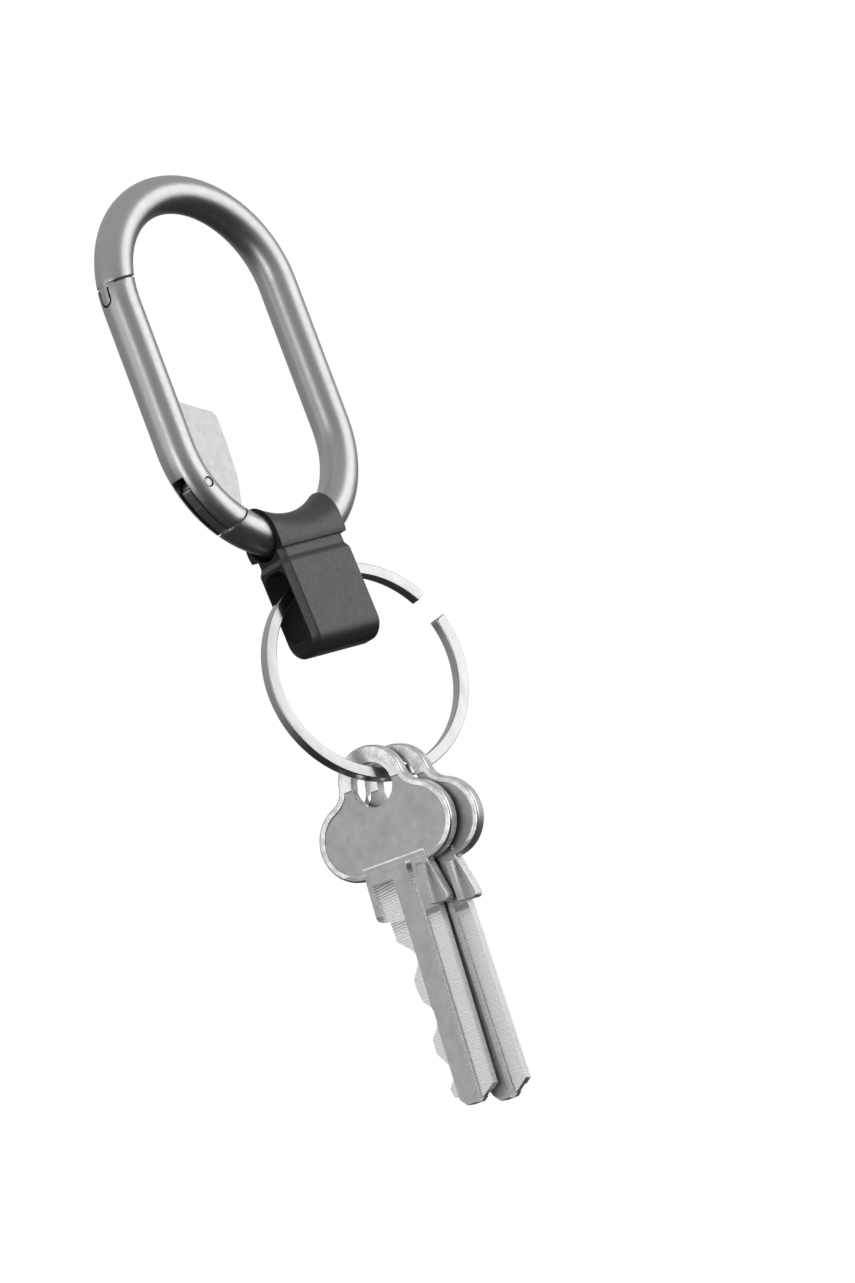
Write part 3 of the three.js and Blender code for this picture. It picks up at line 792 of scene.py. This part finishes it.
class ORGANISER_OT_hinge(bpy.types.Operator):
    """Models the hinge pin with its riveted heads, and finishes the plunger and its spring"""

    bl_idname = "organiser.hinge"
    bl_label = "Hinge pin, plunger and spring"

    def execute(self, context):
        sizes = loop_sizes(context)
        pin_x, pin_z = pin_place(sizes)
        length = PIN_HIGH.y - PIN_LOW.y
        pin = round_bar("hinge_pin", pin_x, pin_z, PIN_RADIUS, length, 40)
        mesh = edit(pin)
        choose(pin, mesh.faces, lambda f: abs(f.normal.y) > 0.9)
        bpy.ops.mesh.inset(thickness=0.12 * MM, depth=-0.04 * MM)
        bpy.ops.mesh.inset(thickness=0.1 * MM, depth=0.03 * MM)
        leave()
        soften(pin, 0.07 * MM, 2, 50)
        smooth(pin)
        dress(pin, "gate", "pin_steel", satin_metal("pin_satin", (0.44, 0.44, 0.43), 0.3))
        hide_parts("gate_pivot_pin")
        for node, roughness in (("spring_plunger", 0.28), ("gate_spring", 0.24)):
            part = frame["nodes"][node]
            finish = satin_metal(node + "_steel", (0.62, 0.62, 0.61), roughness)
            part.data.materials.clear()
            part.data.materials.append(finish)
        return {"FINISHED"}


# ---------------------------------------------------------------- the connector


LOBE_FOOT = -1.45 * MM
NECK = -2.9 * MM
SHOULDER = -3.8 * MM
NECK_SHARE = (0.943, 0.88, 1)  # the neck's size as a share of the plate's
FOOT_ROUND = 3.0 * MM
END_CHAMFER = 0.9 * MM
SLOT_LOW = -15.4 * MM
SLOT_HIGH = -4.3 * MM
SLOT_CORNER = 1.9 * MM


def connector_place(context):
    """Placement of the connector: slid round the bend, turned a little, and resting on the rod."""
    loop = loop_sizes(context)
    sizes = context.scene.organiser_connector
    foot = loop.middle_height - loop.half_straight
    return (Matrix.Translation((0, 0, foot))
            @ Matrix.Rotation(-sizes.slide, 4, "Y")
            @ Matrix.Translation((0, 0, -loop.bend_radius - sizes.drop))
            @ Matrix.Rotation(sizes.yaw, 4, "Z"))


def bend_bar(name, context, radius, reach):
    """Round bar along the bend, centred on the connector's own origin."""
    loop = loop_sizes(context)
    sides = context.scene.organiser_stage.round_sides
    turned = Matrix.Rotation(reach, 4, "Y") @ Vector((0, 0, -loop.bend_radius))
    select_none()
    bpy.ops.mesh.primitive_circle_add(
        vertices=sides, radius=radius, fill_type="NGON",
        location=(turned.x, 0, turned.z + loop.bend_radius), rotation=(0, math.pi / 2 + reach, 0))
    bar = name_new(name)
    edit(bar)
    bpy.ops.mesh.select_all(action="SELECT")
    bpy.ops.mesh.spin(steps=24, angle=2 * reach, center=(0, 0, loop.bend_radius), axis=(0, 1, 0))
    close_shape()
    return bar


def lobe(context, sizes):
    """Barrel around the rod, its top hollowed to the rod's bend, with a sharp lip below."""
    select_none()
    bpy.ops.mesh.primitive_cylinder_add(
        vertices=80, radius=sizes.lobe_radius, depth=sizes.lobe_length + 4 * MM,
        rotation=(0, math.pi / 2, 0))
    barrel = name_new("lobe")
    add(barrel, bend_bar("saddle", context, sizes.lobe_radius * 0.999, math.radians(40)))
    half = sizes.lobe_length / 2
    keep_shared(barrel, block("lobe_space", (-half, -7 * MM, LOBE_FOOT), (half, 7 * MM, 9 * MM)))
    bevel_edges(barrel, lambda e: near(abs(middle(e).x), half), 0.3 * MM, 3)
    bevel_edges(barrel, lambda e: near(middle(e).z, LOBE_FOOT, MATCH), 0.22 * MM, 3)
    return barrel


def lower_plate(sizes):
    """Plate with chamfered sides, round foot and sloping shoulders that lead up to the neck."""
    length = sizes.plate_length / 2
    depth = sizes.plate_thickness / 2
    foot = sizes.plate_bottom
    body = block("connector_plate", (-length, -depth, foot), (length, depth, SHOULDER))
    bevel_edges(body, lambda e: near(middle(e).z, foot) and near(middle(e).x, 0), FOOT_ROUND, 12)

    def on_end(edge):
        return (all(near(abs(v.co.x), length) for v in edge.verts)
                and abs(middle(edge).x) > length / 2 and not near(middle(edge).z, SHOULDER))

    bevel_edges(body, on_end, END_CHAMFER, 1)
    mesh = edit(body)
    choose(body, mesh.faces, lambda f: f.normal.z > 0.9)
    rise = (0, 0, NECK - SHOULDER)
    bpy.ops.mesh.extrude_region_move(TRANSFORM_OT_translate={"value": rise})
    bpy.ops.transform.resize(value=NECK_SHARE)
    bpy.ops.mesh.extrude_region_move(TRANSFORM_OT_translate={"value": (0, 0, 2.4 * MM)})
    leave()
    soften(body, 0.2 * MM, 3, 18)
    return body


class ORGANISER_OT_connector(bpy.types.Operator):
    """Models the connector: a lobe around the rod and a thick plate with a slot for the ring"""

    bl_idname = "organiser.connector"
    bl_label = "Connector"

    def execute(self, context):
        sizes = context.scene.organiser_connector
        connector = lobe(context, sizes)
        connector.name = connector.data.name = "ring_connector"
        add(connector, lower_plate(sizes))
        cut(connector, bend_bar("bore", context, sizes.bore_radius, math.radians(38)))
        cut(connector, ring_slot(sizes))

        def at_mouth(edge):
            at = middle(edge)
            return (near(abs(at.x), sizes.lobe_length / 2, 0.4 * MM)
                    and near(math.hypot(at.y, at.z), sizes.bore_radius, 0.6 * MM))

        bevel_edges(connector, at_mouth, 0.25 * MM, 3)
        smooth(connector, 30)
        colour = context.scene.organiser_finishes.plastic
        finish = moulded_plastic("connector_charcoal", colour)
        # The end faces get a darker, less glossy copy of the moulding: the darker colour is painted shade.
        dull = moulded_plastic("connector_end_shade", [0.6 * c for c in colour], 0.3)
        connector.data.materials.append(finish)
        connector.data.materials.append(dull)
        # Painted shade: the faces at the connector's two ends take the darker copy.
        mark_faces(connector, lambda f: abs(f.normal.x) > 0.95, 1)
        place(connector, connector_place(context))
        dress(connector, "connector", "connector_black", finish, dull)
        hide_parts("connector")
        return {"FINISHED"}


def ring_slot(sizes):
    """Slot for the ring, right through the plate, with round corners."""
    half = sizes.slot_width / 2
    corners = [(half, SLOT_HIGH), (-half, SLOT_HIGH), (-half, SLOT_LOW), (half, SLOT_LOW)]
    outline = rounded([(*corner, SLOT_CORNER) for corner in corners], 8)
    return plate("ring_slot", outline, 20 * MM, along="X")


# ---------------------------------------------------------------- the ring


class ORGANISER_OT_ring(bpy.types.Operator):
    """Models the open key ring from a small squared section turned about the ring's axis"""

    bl_idname = "organiser.ring"
    bl_label = "Key ring"

    def execute(self, context):
        sizes = context.scene.organiser_ring
        middle_radius = (sizes.outer_radius + sizes.inner_radius) / 2
        start = sizes.gap_middle + sizes.gap_angle / 2
        select_none()
        bpy.ops.mesh.primitive_plane_add(size=1)
        ring = bpy.context.object
        ring.scale = (sizes.outer_radius - sizes.inner_radius, sizes.thickness, 1)
        ring = name_new("open_ring")
        edit(ring, "VERT")
        bpy.ops.mesh.select_all(action="SELECT")
        bpy.ops.mesh.bevel(offset=0.17 * MM, segments=3, affect="VERTICES")
        leave()
        place(ring, Matrix.Rotation(-start, 4, "Y") @ Matrix.Translation((middle_radius, 0, 0)))
        edit(ring)
        bpy.ops.mesh.select_all(action="SELECT")
        bpy.ops.mesh.spin(
            steps=144, angle=2 * math.pi - sizes.gap_angle, center=(0, 0, 0), axis=(0, 1, 0))
        close_shape()
        bevel_edges(ring, lambda e: is_sharp(e, math.radians(60)), 0.12 * MM, 2)
        smooth(ring)
        centre = (RING_LOW + RING_HIGH) / 2
        place(ring, Matrix.Translation(centre) @ Matrix.Rotation(sizes.yaw, 4, "Z"))
        finish = ring_steel("ring_satin", context.scene.organiser_finishes.steel)
        dress(ring, "key_ring", "ring_steel", finish)
        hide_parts("key_ring")
        return {"FINISHED"}


# ---------------------------------------------------------------- the keys

# The keys' outlines are in millimetres from the middle of the hole: (across, up).
# A lobe of the bow has its radius as a third number.
BOW_TOP = (0, 0.5, 5.5)
BOW_LEFT = (-5.2, -7.2, 6.2)
BOW_RIGHT = (5.1, -7.2, 6.2)
BOW_FILLET = 3.0
FIELD_FOOT, FIELD_TOP = -12.5, 0.4
CUTTER_RADIUS = 11.0
BLADE_FOOT = -52.0
GROOVED_SIDES = (-1.0, 1.7)  # grooves' long edges that are worn to a chamfer
CUT_BASE = -3.7


def fillet_centre(first, second, radius, side):
    """Centre of the round hollow between two lobes, on their left (-1) or right (1) side."""
    (x1, z1, r1), (x2, z2, r2) = first, second
    reach = math.hypot(x2 - x1, z2 - z1)
    a, b = r1 + radius, r2 + radius
    along = (a * a - b * b + reach * reach) / (2 * reach)
    off = math.sqrt(a * a - along * along)
    ux, uz = (x2 - x1) / reach, (z2 - z1) / reach
    nx, nz = -uz, ux
    if nx * side < 0:
        nx, nz = -nx, -nz
    return (x1 + ux * along + nx * off, z1 + uz * along + nz * off)


def heading(start, end):
    return math.degrees(math.atan2(end[1] - start[1], end[0] - start[0]))


def bow_outline(inset):
    """Outline of the three-lobed bow drawn in by an inset, from the lower right, anticlockwise."""
    right = fillet_centre(BOW_TOP, BOW_RIGHT, BOW_FILLET, 1)
    left = fillet_centre(BOW_TOP, BOW_LEFT, BOW_FILLET, -1)
    points = []
    to_fillet = heading(BOW_RIGHT, right)
    points += arc(BOW_RIGHT[:2], BOW_RIGHT[2] - inset, -90, to_fillet, 34)
    start, end = to_fillet + 180, heading(right, BOW_TOP)
    points += arc(right, BOW_FILLET + inset, start, end % 360, 10)[1:-1]
    points += arc(BOW_TOP[:2], BOW_TOP[2] - inset, heading(BOW_TOP, right), heading(BOW_TOP, left), 36)
    start, end = heading(left, BOW_TOP) % 360, heading(left, BOW_LEFT) % 360
    points += arc(left, BOW_FILLET + inset, start, end if end < start else end - 360, 10)[1:-1]
    points += arc(BOW_LEFT[:2], BOW_LEFT[2] - inset, heading(BOW_LEFT, left) % 360, 270, 34)
    return points


def in_metres(points):
    return [(x * MM, z * MM) for x, z in points]


def sunk_field(sizes, side):
    """Shape that sinks the bow's field: inside the rim, below the hole's middle, above the blade."""
    rim = sizes.rim_width / MM
    inside = [(x, z) for x, z in bow_outline(rim) if FIELD_FOOT < z < FIELD_TOP]
    field = plate("sunk_field", in_metres(inside), 2 * MM)
    away = sizes.thickness / 2 - sizes.recess_depth + 1 * MM
    return place(field, Matrix.Translation((0, side * away, 0)))


def wheel_groove(sizes, left, right, top, foot, depth, side):
    """Groove that a wide cutter wheel leaves: flat along the blade, with a curved run-out at its top."""
    half = sizes.thickness / MM / 2
    run = math.sqrt(2 * CUTTER_RADIUS * depth)
    floor = half - depth
    outline = [(-floor, foot), (-half - 1.5, foot), (-half - 1.5, top)]
    for i in range(9):
        back = run * (1 - i / 8)
        outline.append((-floor - back * back / (2 * CUTTER_RADIUS), top - run + back))
    shape = plate("groove", in_metres(outline), (right - left) * MM, along="X")
    turn = Matrix.Rotation(math.pi, 4, "Z") if side > 0 else Matrix.Identity(4)
    return place(shape, Matrix.Translation(((left + right) / 2 * MM, 0, 0)) @ turn)


def blade_outline(cuts):
    """Shoulders with small wings, and the blade with its row of cuts."""
    return [
        (5.3, -11.5), (5.45, -13.6), (6.8, -19.2), (6.6, -19.9), (6.2, -20.1), (4.9, -20),
        (4.9, -48), (2, -50), (0, -50), (-1.4, -48.4),
        *[(CUT_BASE + depth, height) for depth, height in reversed(cuts)],
        (CUT_BASE, -23.4), (CUT_BASE, -20.2), (-5.0, -20.0), (-5.4, -19.8), (-5.6, -19.2),
        (-5.5, -11.5),
    ]


# Cuts of the two blades, from the bow down: (depth from the uncut edge, height).
FRONT_CUTS = [
    (1.9, -25.2), (2.7, -26.4), (2.6, -27.2), (0.9, -29.6), (0.9, -31.4), (1.3, -33.2),
    (2.8, -34.9), (2.8, -36.9), (1, -39), (1, -41.2), (2.4, -43.4), (2.4, -45.6), (1.4, -46.9),
    (1.8, -48.2),
]
REAR_CUTS = [
    (1, -24.6), (1.2, -26.4), (2.6, -28.4), (2.7, -29.8), (1.1, -31.6), (1.1, -32.6),
    (2, -34.2), (2, -35.8), (0.7, -37.6), (0.7, -38.4), (2.6, -40.8), (2.6, -42.4),
    (1.2, -44.2), (1.6, -47.2),
]

# The keys: node, cuts, and tilt in degrees.
KEYS = (("front_key", FRONT_CUTS, 4.2), ("rear_key", REAR_CUTS, 2.8))

# Milled areas: left, right, top, foot and depth in millimetres, and the side (-1 is the front).
MILLED_AREAS = (
    (-4.6, -1.0, -14.2, -20.6, 0.6, -1),
    (-6.0, -1.0, -19.0, BLADE_FOOT, 0.6, -1),
    (1.7, 2.6, -12.6, BLADE_FOOT, 0.95, -1),
    (2.6, 6.0, -20.2, BLADE_FOOT, 0.35, -1),
    (4.2, 5.0, -13.9, -20.0, 0.7, -1),
    (2.7, 3.9, -14.4, BLADE_FOOT, 0.6, 1),
)


def model_key(name, sizes, cuts):
    """Key blank: bow with a sunk field and a hole, blade with its cuts and milled areas."""
    half = sizes.thickness / 2
    key = plate(name, in_metres(bow_outline(0)), sizes.thickness)
    bevel_edges(key, lambda e: near(abs(middle(e).y), half), 0.36 * MM, 4)
    for side in (-1, 1):
        cut(key, sunk_field(sizes, side))
    bevel_edges(key, lambda e: all(near(abs(v.co.y), half, MATCH) for v in e.verts), 0.12 * MM, 2)
    blade = plate(name + "_blade", in_metres(blade_outline(cuts)), sizes.thickness - 0.02 * MM)
    soften(blade, 0.1 * MM, 2)
    add(key, blade)
    cut(key, round_bar("key_hole", 0, 0, sizes.hole_radius, 6 * MM, 64))

    def on_hole(edge):
        at = middle(edge)
        return (near(math.hypot(at.x, at.z), sizes.hole_radius, 0.03 * MM)
                and near(edge.verts[0].co.y, edge.verts[1].co.y, 0.06 * MM))

    bevel_edges(key, on_hole, 0.42 * MM, 4)
    for area in MILLED_AREAS:
        cut(key, wheel_groove(sizes, *area))

    def on_groove(edge, across):
        at = middle(edge)
        return (abs(edge.verts[0].co.z - edge.verts[1].co.z) > 4 * MM and at.z < -20 * MM
                and near(at.x, across * MM, MATCH) and at.y < -half + 0.03 * MM)

    for across in GROOVED_SIDES:
        bevel_edges(key, lambda e: on_groove(e, across), 0.32 * MM, 1)
    return key


def mark_key(key, sizes):
    """Milled faces and cuts get the second finish, partly painted sheen, the rim and all edges of the bow
    the third, partly painted highlight.
    """
    half = sizes.thickness / 2
    milled_top = -14.1 * MM
    bow_foot = -11.8 * MM

    def milled_sheen_mask(face):
        at = face.calc_center_median()
        return at.z < milled_top and (abs(face.normal.y) < 0.5 or abs(at.y) < half - 0.2 * MM)

    def raised_highlight_mask(face):
        at = face.calc_center_median()
        slanted = abs(face.normal.y) < 0.98
        return ((at.z > bow_foot or (slanted and at.z > milled_top))
                and (slanted or abs(at.y) > half - 0.08 * MM))

    mark_faces(key, milled_sheen_mask, 1)
    edit(key)
    bpy.ops.mesh.select_all(action="SELECT")
    bpy.ops.mesh.bisect(plane_co=(0, 0, bow_foot), plane_no=(0, 0, 1), use_fill=False)
    leave()
    mark_faces(key, raised_highlight_mask, 2)


class ORGANISER_OT_keys(bpy.types.Operator):
    """Models the two house keys, each with a lobed bow, a hole, milled grooves and its own cuts"""

    bl_idname = "organiser.keys"
    bl_label = "House keys"

    def execute(self, context):
        sizes = context.scene.organiser_keys
        finishes = context.scene.organiser_finishes
        worn = worn_nickel("key_nickel", finishes.nickel, sizes.yaw)
        # Near white: painted sheen on the milled faces, over the bright cut metal.
        bright = milled_metal_and_sheen("key_milled_sheen", finishes.milled, sizes.yaw, 0.42 * MM)
        # Near white: painted highlight on the rim, edges and hole, over the polished nickel.
        polished_and_highlit = polished_highlit_nickel("key_rim_highlight", finishes.rim)
        joints = {joint["name"]: joint for joint in frame["joints"]}
        for name, cuts, tilt in KEYS:
            key = model_key(name + "_blank", sizes, cuts)
            for material in (worn, bright, polished_and_highlit):
                key.data.materials.append(material)
            mark_key(key, sizes)
            smooth(key, 34)
            hang = Vector(joints[name + "_swing"]["pos_m"])
            turn = Matrix.Rotation(sizes.yaw, 4, "Z") @ Matrix.Rotation(math.radians(tilt), 4, "Y")
            place(key, Matrix.Translation(hang) @ turn)
            dress(key, name, "key_nickel", worn, bright, polished_and_highlit)
            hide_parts(name)
        return {"FINISHED"}


# ---------------------------------------------------------------- stage

AIM = Vector((15.37 * MM, -4.10 * MM, -73.92 * MM))
LIGHT_AIM = Vector((0, 0, -0.07))
# Soft lights: name, direction from the object, distance, width, height and power.
LIGHTS = (
    ("key_softbox", (0.70, -0.74, 0.10), 1.3, 1.35, 1.1, 7.4),
    ("front_fill", (-0.89, -0.42, -0.06), 1.2, 0.30, 0.7, 2.3),
    ("left_fill", (-0.98, 0.114, 0.17), 1.2, 0.8, 0.8, 1.0),
)
# Grey of the studio's air from below to above: place and level.
AIR = ((0.30, 0.045), (0.5, 0.36), (0.85, 0.55))


def plain(name, colour, roughness):
    material = bpy.data.materials.new(name)
    material.use_nodes = True
    shader = material.node_tree.nodes["Principled BSDF"]
    shader.inputs["Base Color"].default_value = (*colour, 1)
    shader.inputs["Roughness"].default_value = roughness
    return material


def softbox(name, direction, distance, width, height, power):
    """Large soft light, placed by its direction from the object."""
    data = bpy.data.lights.new(name, "AREA")
    data.shape = "RECTANGLE"
    data.size = width
    data.size_y = height
    data.energy = power
    light = bpy.data.objects.new(name, data)
    bpy.context.scene.collection.objects.link(light)
    way = Vector(direction).normalized()
    light.location = LIGHT_AIM + way * distance
    light.rotation_euler = way.to_track_quat("Z", "Y").to_euler()


def studio_air():
    """Even light all round: grey above and at the sides, nearly black below."""
    world = bpy.data.worlds.new("studio_air")
    bpy.context.scene.world = world
    world.use_nodes = True
    nodes, links = world.node_tree.nodes, world.node_tree.links
    where = nodes.new("ShaderNodeTexCoord")
    split = nodes.new("ShaderNodeSeparateXYZ")
    ramp = nodes.new("ShaderNodeValToRGB")
    stops = ramp.color_ramp.elements
    stops.new(0.5)
    for stop, (position, grey) in zip(stops, AIR):
        stop.position = position
        stop.color = (grey, grey, grey, 1)
    lift = nodes.new("ShaderNodeMapRange")
    lift.inputs["From Min"].default_value = -1
    links.new(where.outputs["Generated"], split.inputs["Vector"])
    links.new(split.outputs["Z"], lift.inputs["Value"])
    links.new(lift.outputs["Result"], ramp.inputs["Fac"])
    links.new(ramp.outputs["Color"], nodes["Background"].inputs["Color"])


def aim_camera(sizes):
    """Camera below the object's middle, rolled about its line of sight."""
    back = Vector((math.sin(sizes.azimuth) * math.cos(sizes.elevation),
                   -math.cos(sizes.azimuth) * math.cos(sizes.elevation), math.sin(sizes.elevation)))
    level_right = Vector((math.cos(sizes.azimuth), math.sin(sizes.azimuth), 0))
    level_up = back.cross(level_right)
    right = level_right * math.cos(sizes.roll) - level_up * math.sin(sizes.roll)
    up = level_right * math.sin(sizes.roll) + level_up * math.cos(sizes.roll)
    camera_data = bpy.data.cameras.new("studio_camera")
    camera_data.lens = sizes.lens
    camera_data.sensor_width = 36
    camera_data.clip_start = 0.05
    camera_data.clip_end = 20
    camera = bpy.data.objects.new("studio_camera", camera_data)
    bpy.context.scene.collection.objects.link(camera)
    pose = Matrix((right, up, back)).transposed().to_4x4()
    camera.matrix_world = Matrix.Translation(AIM + back * sizes.distance) @ pose
    bpy.context.scene.camera = camera
    bpy.context.scene.view_settings.view_transform = "Standard"


class ORGANISER_OT_stage(bpy.types.Operator):
    """Sets the floor, the white backdrop, the soft studio lights and the camera"""

    bl_idname = "organiser.stage"
    bl_label = "Studio"

    def execute(self, context):
        sizes = context.scene.organiser_stage
        white = context.scene.organiser_finishes.backdrop
        select_none()
        bpy.ops.mesh.primitive_circle_add(
            vertices=96, radius=2.6, fill_type="NGON", location=(0, 0, sizes.floor_height))
        floor = name_new("studio_floor")
        floor.data.materials.append(plain("floor_white", (0.86, 0.86, 0.86), 0.7))
        floor.visible_glossy = False
        floor.visible_diffuse = False
        bpy.ops.mesh.primitive_uv_sphere_add(segments=48, ring_count=24, radius=3.2)
        dome = name_new("studio_backdrop")
        dome.data.materials.append(plain("backdrop_white", (0, 0, 0), 1))
        glow = dome.data.materials[0].node_tree.nodes["Principled BSDF"]
        glow.inputs["Emission Color"].default_value = (*white, 1)
        glow.inputs["Emission Strength"].default_value = 1.0
        glow.inputs["Specular IOR Level"].default_value = 0
        for kind in ("diffuse", "glossy", "transmission", "volume_scatter", "shadow"):
            setattr(dome, "visible_" + kind, False)
        aim_camera(sizes)
        studio_air()
        for light in LIGHTS:
            softbox(*light)
        return {"FINISHED"}


# ---------------------------------------------------------------- panel and registration

STEPS = ("rod", "gate", "hinge", "connector", "ring", "keys", "stage")
SIZE_GROUPS = {
    "organiser_loop": OrganiserLoopSizes,
    "organiser_connector": OrganiserConnectorSizes,
    "organiser_ring": OrganiserRingSizes,
    "organiser_keys": OrganiserKeySizes,
    "organiser_finishes": OrganiserFinishes,
    "organiser_stage": OrganiserStageSizes,
}


class ORGANISER_PT_sidebar(bpy.types.Panel):
    """Lists the pieces in the order in which they are made"""

    bl_idname = "ORGANISER_PT_sidebar"
    bl_label = "Key organiser"
    bl_space_type = "VIEW_3D"
    bl_region_type = "UI"
    bl_category = "Organiser"

    def draw(self, context):
        for step in STEPS:
            self.layout.operator("organiser." + step)
        for group in SIZE_GROUPS:
            box = self.layout.box()
            sizes = getattr(context.scene, group)
            for field in sizes.__annotations__:
                box.prop(sizes, field)


CLASSES = (
    *SIZE_GROUPS.values(),
    ORGANISER_OT_rod,
    ORGANISER_OT_gate,
    ORGANISER_OT_hinge,
    ORGANISER_OT_connector,
    ORGANISER_OT_ring,
    ORGANISER_OT_keys,
    ORGANISER_OT_stage,
    ORGANISER_PT_sidebar,
)


def register():
    for cls in CLASSES:
        bpy.utils.register_class(cls)
    for name, group in SIZE_GROUPS.items():
        setattr(bpy.types.Scene, name, PointerProperty(type=group))


def unregister():
    for name in SIZE_GROUPS:
        delattr(bpy.types.Scene, name)
    for cls in reversed(CLASSES):
        bpy.utils.unregister_class(cls)


def main():
    register()
    for step in STEPS:
        getattr(bpy.ops.organiser, step)()
    select_none()


if __name__ == "__main__":
    main()
